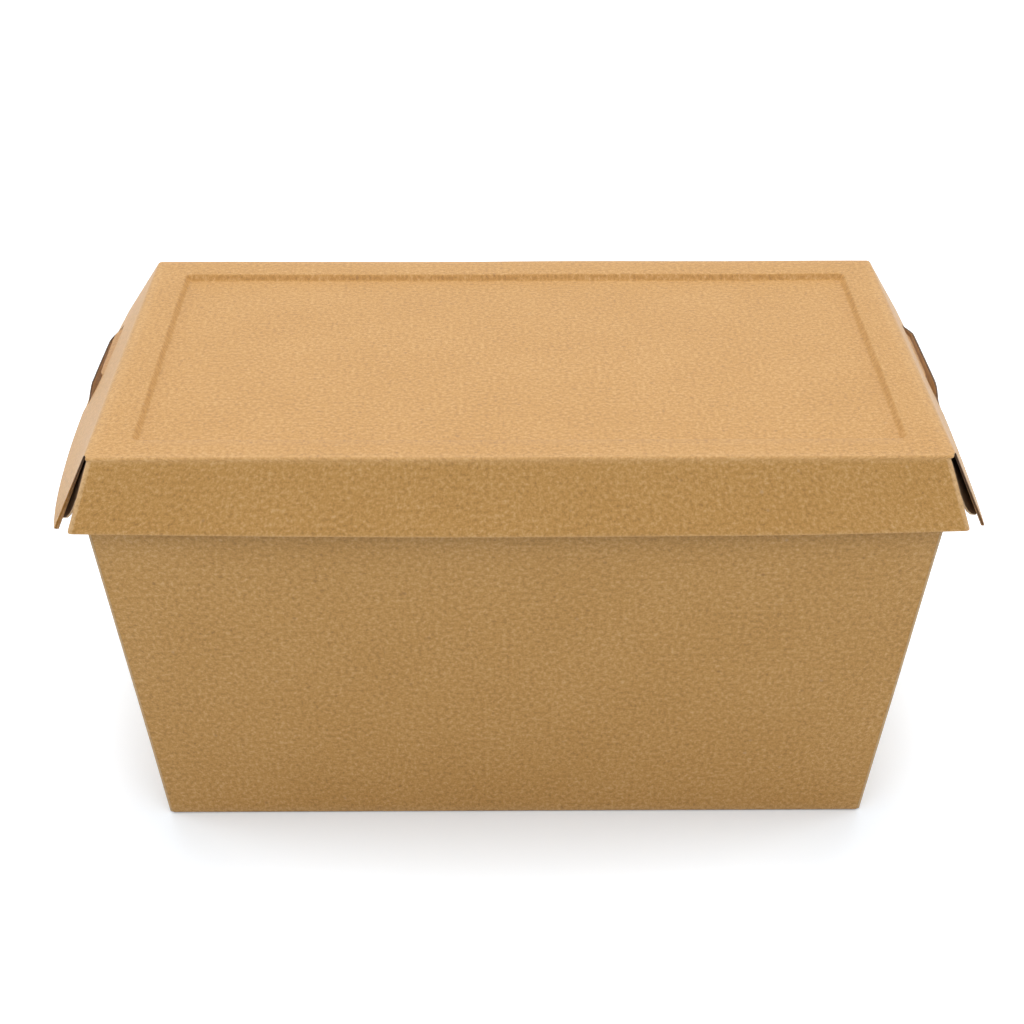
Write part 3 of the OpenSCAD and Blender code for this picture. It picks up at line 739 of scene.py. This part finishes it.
class TrayBlank:
    """The tray's cross-shaped blank: base, four walls, glued tabs and the two lock tabs."""
    WALL_SHARES = (0.02, 0.05, 0.12, 0.24, 0.36, 0.48, 0.6, 0.72, 0.84, 0.95, 1)
    GLUE_SHARES = (0.02, 0.24, 0.48, 0.72, 0.95)
    GLUE_COLUMN_SHARES = (0, 0.5, 1)
    TAB_SHARES = (-1, -0.985, -0.94, -0.87, -0.75, -0.5, -0.25, 0, 0.25, 0.5, 0.75, 0.87, 0.94, 0.985, 1)
    TAB_REACH_SHARES = (0.3, 0.65, 1)
    LEAST_TAB_REACH = 0.0003
    COLUMN_STEPS = 10
    FRONT_ROWS = 5
    BACK_ROWS = 4

    def __init__(self, settings):
        board, tray, lock = settings.board, settings.tray, settings.lock
        self.board, self.tray, self.lock = board, tray, lock
        self.end_lean = math.atan((tray.rim_w - tray.base_w) / 2 / tray.height)
        self.long_lean = math.atan((tray.rim_d - tray.base_d) / 2 / tray.height)
        self.end = PanelEdge(board, self.end_lean, tray.height / math.cos(self.end_lean), self.WALL_SHARES)
        self.long = PanelEdge(board, self.long_lean, tray.height / math.cos(self.long_lean), self.WALL_SHARES)
        self.edge_w = tray.base_w / 2 - self.end.reach
        self.edge_d = tray.base_d / 2 - self.long.reach
        self.columns = mirrored(steps_between(0, self.edge_w, self.COLUMN_STEPS))
        at_rim = [lock.tab_place + t * lock.tab_len / 2 for t in self.TAB_SHARES]
        tab = [y * self.edge_d / (tray.rim_d / 2) for y in at_rim]
        front = [-self.edge_d] + steps_between(-self.edge_d, tab[0], self.FRONT_ROWS)[:-1]
        self.tab_rows = range(len(front), len(front) + len(tab))
        self.rows = front + tab + steps_between(tab[-1], self.edge_d, self.BACK_ROWS)

    def inside(self, height):
        """Where a layer lies that is glued to the inside of an end wall."""
        layer = glued_depth(self.board)
        return self.tray.base_w / 2 + height * math.tan(self.end_lean) - layer / math.cos(self.end_lean)

    def base_point(self, x, y, depth):
        return x, y, depth

    def end_point(self, side, step, y, depth):
        """An end wall's edges are flush with the outside of the front and back walls."""
        out, height = self.end.station(step, depth)
        outer_height = self.end.station(step, 0.0)[1]
        corner = self.tray.base_d / 2 + outer_height * math.tan(self.long_lean)
        edge = lerp(self.edge_d, corner, min(step / self.end.steps, 1))
        return side * (self.tray.base_w / 2 + out), y * edge / self.edge_d, height

    def long_point(self, side, step, x, depth):
        """The front and back walls end inside the end walls, their inner skin mitred for the glued tabs."""
        out, height = self.long.station(step, depth)
        outer_height = self.long.station(step, 0.0)[1]
        edge = lerp(self.edge_w, self.inside(outer_height), min(step / self.long.steps, 1))
        mitre = sign(x) * depth if abs(x) == self.edge_w and step > 0 else 0.0
        return x * edge / self.edge_w - mitre, side * (self.tray.base_d / 2 + out), height

    def glue_point(self, side, end, root, column, depth):
        """A glued tab lies on the inside of an end wall, with slanted ends."""
        tray = self.tray
        t = self.GLUE_COLUMN_SHARES[column]
        root_height = self.long.station(root, 0.0)[1]
        height = lerp(root_height, tray.height / 2, 2 * tray.glue_slant * t)
        wall = tray.base_d / 2 + height * math.tan(self.long_lean)
        back = lerp(glued_depth(self.board), tray.glue_tab_w, t)
        return side * (self.inside(height) - depth), end * (wall - back), height

    def tab_round(self, y):
        """How much of a lock tab's reach its round corners take."""
        lock = self.lock
        t = clamp((abs(y - lock.tab_place) - lock.tab_len / 2 + lock.tab_corner) / lock.tab_corner)
        return lock.tab_corner * (1 - math.sqrt(1 - t * t))

    def tab_reach_share(self, step):
        """Place down a lock tab's slope, 0 while it still folds."""
        return self.TAB_REACH_SHARES[step - self.end.steps - 1] if step > self.end.steps else 0.0

    def tab_flat(self, step):
        """Distance from the rim on the flat blank."""
        fold = 2 * self.lock.tab_fold * min(step / self.end.steps, 1)
        return fold + self.lock.left_reach * self.tab_reach_share(step)

    def tab_point(self, side, step, row, depth):
        """A lock tab is folded out over the rim and slopes down."""
        lock = self.lock
        x, y, z = self.end_point(side, self.end.count, self.rows[row], 0.0)
        turn = (math.pi / 2 + of_side(lock, side, "dip") - self.end_lean) * min(step / self.end.steps, 1)
        heading = math.pi - self.end_lean - turn
        radius = lock.tab_fold + depth
        out = abs(x) + lock.tab_fold * math.cos(self.end_lean) + radius * math.cos(heading)
        up = z - lock.tab_fold * math.sin(self.end_lean) + radius * math.sin(heading)
        whole = max(of_side(lock, side, "reach") - self.tab_round(y), self.LEAST_TAB_REACH)
        reach = whole * self.tab_reach_share(step)
        return side * (out + reach * math.sin(heading)), y, up - reach * math.cos(heading)

    def fold(self):
        """Folds the whole tray into one sheet."""
        sheet = FoldedSheet(self.board.thickness)
        self.add_base(sheet)
        for side in (-1, 1):
            self.add_long_wall(sheet, side)
            self.add_end_wall(sheet, side)
        for side in (-1, 1):
            self.add_lock_tab(sheet, side)
            for end in (-1, 1):
                self.add_glued_tab(sheet, side, end)
        return sheet

    def add_base(self, sheet):
        for i, x in enumerate(self.columns):
            for j, y in enumerate(self.rows):
                sheet.add(("base", i, j), self.base_point, (x, y), (x, y))
        sheet.fill(("base",), range(len(self.columns)), range(len(self.rows)), turned=True)

    def add_long_wall(self, sheet, side):
        name = ("long", side)
        for i, x in enumerate(self.columns):
            sheet.join((*name, i, 0), ("base", i, outermost(self.rows, side)))
            for k in range(1, self.long.count + 1):
                blank = (x, side * (self.edge_d + self.long.flat(k)))
                sheet.add((*name, i, k), self.long_point, (side, k, x), blank, self.long.wear(k))
        sheet.fill(name, range(len(self.columns)), range(self.long.count + 1), turned=side > 0)

    def add_end_wall(self, sheet, side):
        name = ("end", side)
        for j, y in enumerate(self.rows):
            sheet.join((*name, 0, j), ("base", outermost(self.columns, side), j))
            for k in range(1, self.end.count + 1):
                blank = (side * (self.edge_w + self.end.flat(k)), y)
                sheet.add((*name, k, j), self.end_point, (side, k, y), blank, self.end.wear(k))
        sheet.fill(name, range(self.end.count + 1), range(len(self.rows)), turned=side > 0)

    def add_lock_tab(self, sheet, side):
        name = ("tab", side)
        steps = range(self.end.steps + len(self.TAB_REACH_SHARES) + 1)
        rim = self.edge_w + self.end.flat(self.end.count)
        for j in self.tab_rows:
            sheet.join((*name, 0, j), ("end", side, self.end.count, j))
            for k in steps[1:]:
                blank = (side * (rim + self.tab_flat(k)), self.rows[j])
                wear = 1.0 if k <= self.end.steps else 0.0
                sheet.add((*name, k, j), self.tab_point, (side, k, j), blank, wear)
        sheet.fill(name, steps, self.tab_rows, turned=side > 0)

    def add_glued_tab(self, sheet, side, end):
        name = ("glue", side, end)
        roots = [self.long.steps + 1 + self.WALL_SHARES.index(v) for v in self.GLUE_SHARES]
        for r, root in enumerate(roots):
            sheet.join((*name, 0, r), ("long", end, outermost(self.columns, side), root))
            for c, t in enumerate(self.GLUE_COLUMN_SHARES):
                x = self.edge_w + t * self.tray.glue_tab_w
                blank = (side * x, end * (self.edge_d + self.long.flat(root)))
                sheet.add((*name, c + 1, r), self.glue_point, (side, end, root, c), blank)
        columns = range(len(self.GLUE_COLUMN_SHARES) + 1)
        sheet.fill(name, columns, range(len(roots)), turned=side * end < 0)


# Hinge crease

HINGE_SCORE_SHARE = 0.16
HINGE_HOLD_SHARE = 0.6
HINGE_STEPS_ACROSS = 12
HINGE_STEPS_UP = 10


def hinge_sheet(settings):
    """The scored strip of board that joins the tray's back wall to the lid's."""
    tray, board = settings.tray, settings.board
    lid_blank = LidBlank(settings)
    half = abs(lid_blank.column_x(0, lid_blank.back_edge)) - board.thickness
    score = board.thickness * HINGE_SCORE_SHARE
    hold = board.thickness * HINGE_HOLD_SHARE
    bottom, top = tray.height - hold, tray.height + settings.lid.hinge_gap + hold
    lean = TrayBlank(settings).long_lean
    back = tray.rim_d / 2 - score - board.thickness * (1 / math.cos(lean) - 1)
    across = mirrored(steps_between(0, half, HINGE_STEPS_ACROSS))
    up = [bottom] + steps_between(bottom, top, HINGE_STEPS_UP)

    def strip_point(x, z, depth):
        return x, back - depth, z

    sheet = FoldedSheet(board.thickness - 2 * score)
    for i, x in enumerate(across):
        for k, z in enumerate(up):
            sheet.add((k, i), strip_point, (x, z), (x, back + z), wear=1.0)
    sheet.fill((), range(len(up)), range(len(across)))
    return sheet


# Kraft finish

FIBRE_GROUP = "Kraft fibre"
WHITE = (1, 1, 1, 1)

# Stretches of a noise over which what it drives goes from least to most
GRAIN_RANGE = (0.28, 0.72)
MIDDLE_RANGE = (0.3, 0.7)
CURL_RANGE = (0.62, 0.95)

# How strongly each kind of fibre shows
GRAIN_SHOW = 0.92
CLOUD_SHOW = 0.075
CURL_SHOW = 0.14
SPECK_SHOW = 0.45
FLECK_SHOW = 0.4
RUBBED_AND_LIT_SHOW = (0.04, 0.3)

# Soft edge of specks and flecks in widths of a cell, and which cells have one
SPECK_EDGE = (0.05, 0.12)
SPECK_CHOICE = (0.7, 0.72)
FLECK_CHOICE = (0.78, 0.8)

ROUGHNESS_RANGE = (0.48, 0.6)
CURL_HEIGHT = 0.6


def feed(tree, socket, value):
    """Links a socket to another node's, or gives it a value."""
    if isinstance(value, bpy.types.NodeSocket):
        tree.links.new(value, socket)
    else:
        socket.default_value = value


def node(tree, kind, settings=None, **inputs):
    """Adds a shader node, sets its properties and feeds its inputs."""
    made = tree.nodes.new(kind)
    for name, value in (settings or {}).items():
        setattr(made, name, value)
    for name, value in inputs.items():
        feed(tree, made.inputs[name.replace("_", " ")], value)
    return made


def mix_colour(tree, factor, a, b):
    """Mixes two colours by a factor. The node's colour sockets share their names with others."""
    made = node(tree, "ShaderNodeMix", {"data_type": "RGBA"})
    for place, value in ((0, factor), (6, a), (7, b)):
        feed(tree, made.inputs[place], value)
    return made.outputs[2]


def ramp(tree, value, low, high, to_low=0.0, to_high=1.0):
    """Maps a value from one range to another, held at the ends."""
    made = node(
        tree, "ShaderNodeMapRange", {"clamp": True},
        Value=value, From_Min=low, From_Max=high, To_Min=to_low, To_Max=to_high,
    )
    return made.outputs["Result"]


def maths(tree, operation, a, b):
    """One sum of two values."""
    made = node(tree, "ShaderNodeMath", {"operation": operation})
    for socket, value in zip(made.inputs, (a, b)):
        feed(tree, socket, value)
    return made.outputs[0]


def times(tree, a, b):
    return maths(tree, "MULTIPLY", a, b)


def cleared_tree(owner):
    """The empty node tree of a material or a world."""
    owner.use_nodes = True
    owner.node_tree.nodes.clear()
    return owner.node_tree


def fibre_group():
    """Kraft pulp: fine grain, curly pale fibres, dark specks, pale flecks, slow clouds, worn folds, and the
    painted highlight that the wear value carries.
    """
    tree = bpy.data.node_groups.new(FIBRE_GROUP, "ShaderNodeTree")
    sockets = (
        ("Place", "INPUT", "NodeSocketVector"), ("Base", "INPUT", "NodeSocketColor"),
        ("Dark", "INPUT", "NodeSocketColor"), ("Pale", "INPUT", "NodeSocketColor"),
        ("Fold Wear", "INPUT", "NodeSocketFloat"), ("Contrast", "INPUT", "NodeSocketFloat"),
        ("Color", "OUTPUT", "NodeSocketColor"), ("Roughness", "OUTPUT", "NodeSocketFloat"),
        ("Height", "OUTPUT", "NodeSocketFloat"),
    )
    for name, way, kind in sockets:
        tree.interface.new_socket(name=name, in_out=way, socket_type=kind)
    given = node(tree, "NodeGroupInput").outputs
    place, contrast = given["Place"], given["Contrast"]
    base, dark, pale = given["Base"], given["Dark"], given["Pale"]
    grain = node(
        tree, "ShaderNodeTexNoise", Vector=place, Scale=950.0, Detail=5.0, Roughness=0.85,
    ).outputs["Fac"]
    curl = node(
        tree, "ShaderNodeTexNoise", {"noise_type": "RIDGED_MULTIFRACTAL", "normalize": True},
        Vector=place, Scale=520.0, Detail=2.0, Roughness=0.5, Distortion=1.2,
    ).outputs["Fac"]
    cloud = node(
        tree, "ShaderNodeTexNoise", Vector=place, Scale=42.0, Detail=4.0, Roughness=0.55,
    ).outputs["Fac"]
    speck = node(tree, "ShaderNodeTexVoronoi", {"feature": "F1"}, Vector=place, Scale=210.0, Randomness=1.0)
    chosen = node(tree, "ShaderNodeSeparateColor", Color=speck.outputs["Color"]).outputs

    grain_tone = times(tree, ramp(tree, grain, *GRAIN_RANGE, -1.0, 1.0), GRAIN_SHOW)
    cloud_tone = times(tree, ramp(tree, cloud, *MIDDLE_RANGE, -1.0, 1.0), CLOUD_SHOW)
    tone = times(tree, maths(tree, "ADD", grain_tone, cloud_tone), contrast)
    lift = maths(tree, "MAXIMUM", tone, 0.0)
    fall = maths(tree, "MAXIMUM", times(tree, tone, -1.0), 0.0)
    fibres = times(tree, ramp(tree, curl, *CURL_RANGE, 0.0, CURL_SHOW), contrast)
    near = ramp(tree, speck.outputs["Distance"], *SPECK_EDGE, 1.0, 0.0)
    dark_near = times(tree, near, ramp(tree, chosen["Red"], *SPECK_CHOICE, 0.0, SPECK_SHOW))
    specks = times(tree, dark_near, contrast)
    flecks = times(tree, near, ramp(tree, chosen["Green"], *FLECK_CHOICE, 0.0, FLECK_SHOW))
    # Fold wear pales the board; the same value carries painted highlight on the skirt's end folds
    rubbed_and_lit = times(tree, given["Fold Wear"], ramp(tree, grain, *MIDDLE_RANGE, *RUBBED_AND_LIT_SHOW))
    layers = ((lift, pale), (fall, dark), (fibres, pale), (specks, dark), (flecks, pale), (rubbed_and_lit, pale))
    shade = base
    for factor, tint in layers:
        shade = mix_colour(tree, factor, shade, tint)

    roughness = ramp(tree, grain, *MIDDLE_RANGE, *ROUGHNESS_RANGE)
    height = maths(tree, "ADD", grain, times(tree, curl, CURL_HEIGHT))
    node(tree, "NodeGroupOutput", Color=shade, Roughness=roughness, Height=height)


def board_material(name, base, finish, contrast, sheen, on_blank):
    """A kraft surface. Skins take their grain from the blank, edges from their place in space."""
    material = bpy.data.materials.new(name)
    material.diffuse_color = (*base, 1.0)
    tree = cleared_tree(material)
    if on_blank:
        place = node(tree, "ShaderNodeUVMap", {"uv_map": "blank"}).outputs["UV"]
        wear = node(tree, "ShaderNodeAttribute", {"attribute_name": "wear_and_highlight"}).outputs["Fac"]
    else:
        place = node(tree, "ShaderNodeTexCoord").outputs["Object"]
        wear = 0.0
    fibre = node(
        tree, "ShaderNodeGroup", {"node_tree": bpy.data.node_groups[FIBRE_GROUP]},
        Place=place, Base=(*base, 1.0), Dark=(*finish.dark_fibre, 1.0), Pale=(*finish.pale_fibre, 1.0),
        Fold_Wear=wear, Contrast=contrast,
    ).outputs
    bump = node(tree, "ShaderNodeBump", Strength=0.08, Distance=0.00006, Height=fibre["Height"])
    shader = node(
        tree, "ShaderNodeBsdfPrincipled", Base_Color=fibre["Color"], Roughness=fibre["Roughness"],
        Normal=bump.outputs["Normal"], IOR=1.45, Sheen_Weight=sheen, Sheen_Roughness=0.4,
    )
    node(tree, "ShaderNodeOutputMaterial", Surface=shader.outputs["BSDF"])
    return material


def board_materials(finish):
    """Materials: outside, inside, cut edges and painted slot shade, made once and shared by all pieces."""
    wanted = (
        ("kraft outside", finish.kraft, 1.0, 0.1, True),
        ("kraft inside", finish.inside, 0.8, 0.05, True),
        ("kraft cut edge", finish.cut, 0.6, 0.0, False),
        ("kraft painted slot shade", finish.slot_shade, 0.3, 0.0, False),
    )
    if FIBRE_GROUP not in bpy.data.node_groups:
        fibre_group()
    return [
        bpy.data.materials.get(name) or board_material(name, tuple(base), finish, contrast, sheen, on_blank)
        for name, base, contrast, sheen, on_blank in wanted
    ]


# Operators

class FOODBOX_OT_tray(bpy.types.Operator):
    """Fold the tray with its glued corners and lock tabs"""
    bl_idname = "food_box.tray"
    bl_label = "Tray"

    def execute(self, context):
        s = context.scene.food_box
        piece = TrayBlank(s).fold().piece("tray_board_folded", board_materials(s.finish), s.board)
        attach(piece, "tray")
        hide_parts("tray")
        return {"FINISHED"}


class FOODBOX_OT_lid(bpy.types.Operator):
    """Fold the lid with its pressed panel, skirt, flaps and ears"""
    bl_idname = "food_box.lid"
    bl_label = "Lid"

    def execute(self, context):
        s = context.scene.food_box
        sheet = LidBlank(s).fold()
        sheet.shift(s.lid.shift)
        piece = sheet.piece("lid_board_folded", board_materials(s.finish), s.board)
        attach(piece, "lid")
        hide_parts("lid")
        return {"FINISHED"}


class FOODBOX_OT_hinge_fold(bpy.types.Operator):
    """Lay the scored strip that bends when the lid opens"""
    bl_idname = "food_box.hinge_fold"
    bl_label = "Hinge fold"

    def execute(self, context):
        s = context.scene.food_box
        piece = hinge_sheet(s).piece("hinge_fold", board_materials(s.finish), s.board)
        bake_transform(piece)
        return {"FINISHED"}


class FOODBOX_OT_stage(bpy.types.Operator):
    """Set up the camera, the lamps, the sky and the floor"""
    bl_idname = "food_box.stage"
    bl_label = "Stage"

    def execute(self, context):
        stage = context.scene.food_box.stage
        add_camera(context.scene, stage)
        add_lamps(context.scene, stage)
        add_sky(context.scene, stage)
        add_floor(context.scene, stage)
        context.scene.view_settings.view_transform = "Standard"
        return {"FINISHED"}


# Stage

LAMP_TARGET = (0, 0, 0.08)


def add_camera(scene, stage):
    """A camera that stands, looks and leans as the photo's did."""
    ahead = Vector((
        math.sin(stage.yaw) * math.cos(stage.pitch),
        math.cos(stage.yaw) * math.cos(stage.pitch),
        -math.sin(stage.pitch),
    ))
    right = ahead.cross(Vector((0, 0, 1))).normalized()
    up = right.cross(ahead)
    leaned_right = right * math.cos(stage.roll) + up * math.sin(stage.roll)
    leaned_up = up * math.cos(stage.roll) - right * math.sin(stage.roll)
    data = bpy.data.cameras.new("camera")
    data.sensor_width = 36
    data.lens = data.sensor_width * stage.lens_px / stage.frame_px
    data.clip_start = 0.01
    camera = bpy.data.objects.new("camera", data)
    turn = Matrix((leaned_right, leaned_up, -ahead)).transposed().to_4x4()
    camera.matrix_world = Matrix.Translation(stage.eye) @ turn
    scene.collection.objects.link(camera)
    scene.camera = camera


def add_lamps(scene, stage):
    """Four wide soft lamps, each aimed at the middle of the box. A row has name, power, place and width."""
    lamps = (
        ("key lamp", stage.key, (0.0, 0.65, 1.3), 1.5),
        ("fill lamp", stage.fill, (0.0, -1.1, 1.25), 1.3),
        ("left lamp", stage.side, (-1.15, 0.1, 0.75), 0.9),
        ("right lamp", stage.side, (1.15, 0.1, 0.75), 0.9),
    )
    for name, power, place, width in lamps:
        data = bpy.data.lights.new(name, "AREA")
        data.energy = power
        data.shape = "DISK"
        data.size = width
        lamp = bpy.data.objects.new(name, data)
        lamp.location = place
        lamp.rotation_euler = (Vector(LAMP_TARGET) - Vector(place)).to_track_quat("-Z", "Y").to_euler()
        scene.collection.objects.link(lamp)


def shown_or_lit(tree, shown, lit):
    """One shader for what is seen straight, in gloss or through glass, another for what only lights."""
    path = node(tree, "ShaderNodeLightPath").outputs
    seen = maths(tree, "MAXIMUM", path["Is Camera Ray"], path["Is Glossy Ray"])
    seen = maths(tree, "MAXIMUM", seen, path["Is Transmission Ray"])
    mix = node(tree, "ShaderNodeMixShader")
    for socket, value in zip(mix.inputs, (seen, lit.outputs[0], shown.outputs[0])):
        feed(tree, socket, value)
    return mix.outputs[0]


def add_sky(scene, stage):
    """An even pale sky that looks white and lights at a plain level."""
    world = bpy.data.worlds.new("sky")
    tree = cleared_tree(world)
    lit = node(tree, "ShaderNodeBackground", Color=WHITE, Strength=stage.sky)
    shown = node(tree, "ShaderNodeBackground", Color=WHITE, Strength=1.0)
    node(tree, "ShaderNodeOutputWorld", Surface=shown_or_lit(tree, shown, lit))
    scene.world = world


def floor_material(stage):
    """A pale floor with a glow of its own, which fades at the foot of the box as a painted shadow and is full
    far from it.
    """
    material = bpy.data.materials.new("pale floor")
    tree = cleared_tree(material)
    diffuse = node(tree, "ShaderNodeBsdfDiffuse", Color=(*stage.floor, 1.0))
    # Painted shadow: the glow is cut where the box hems the floor in
    open_floor = node(tree, "ShaderNodeAmbientOcclusion", Distance=stage.shade_reach).outputs["AO"]
    place = node(tree, "ShaderNodeTexCoord").outputs["Object"]
    away = node(tree, "ShaderNodeVectorMath", {"operation": "LENGTH"}, Vector=place).outputs["Value"]
    strength = times(tree, open_floor, ramp(tree, away, stage.white_from, stage.white_to, stage.glow, 1.0))
    glow = node(tree, "ShaderNodeEmission", Color=WHITE, Strength=strength)
    both = node(tree, "ShaderNodeAddShader")
    for socket, part in zip(both.inputs, (diffuse, glow)):
        feed(tree, socket, part.outputs[0])
    node(tree, "ShaderNodeOutputMaterial", Surface=shown_or_lit(tree, both, diffuse))
    return material


def add_floor(scene, stage):
    """A plain white floor that keeps the box's shadow from the lamps, with a painted shadow round its foot.
    """
    half = stage.floor_size
    mesh = bpy.data.meshes.new("floor")
    corners = [(-half, -half, 0), (half, -half, 0), (half, half, 0), (-half, half, 0)]
    mesh.from_pydata(corners, [], [(0, 1, 2, 3)])
    mesh.materials.append(floor_material(stage))
    floor = bpy.data.objects.new("floor", mesh)
    scene.collection.objects.link(floor)


# Panel and registration

class FOODBOX_PT_sidebar(bpy.types.Panel):
    """Lists the pieces of the box and their settings"""
    bl_idname = "FOODBOX_PT_sidebar"
    bl_label = "Takeout Food Box"
    bl_space_type = "VIEW_3D"
    bl_region_type = "UI"
    bl_category = "Food Box"

    def draw(self, context):
        for operator in OPERATORS:
            self.layout.operator(operator.bl_idname)
        settings = context.scene.food_box
        for name, group in GROUPS.items():
            box = self.layout.box()
            box.label(text=name.capitalize())
            for prop in group.__annotations__:
                box.prop(getattr(settings, name), prop)


OPERATORS = (FOODBOX_OT_tray, FOODBOX_OT_lid, FOODBOX_OT_hinge_fold, FOODBOX_OT_stage)
CLASSES = (*GROUPS.values(), FoodBoxSettings, *OPERATORS, FOODBOX_PT_sidebar)


def register():
    for cls in CLASSES:
        bpy.utils.register_class(cls)
    bpy.types.Scene.food_box = PointerProperty(type=FoodBoxSettings)


def unregister():
    del bpy.types.Scene.food_box
    for cls in reversed(CLASSES):
        bpy.utils.unregister_class(cls)


def main():
    register()
    bpy.ops.food_box.tray()
    bpy.ops.food_box.lid()
    bpy.ops.food_box.hinge_fold()
    bpy.ops.food_box.stage()


if __name__ == "__main__":
    main()
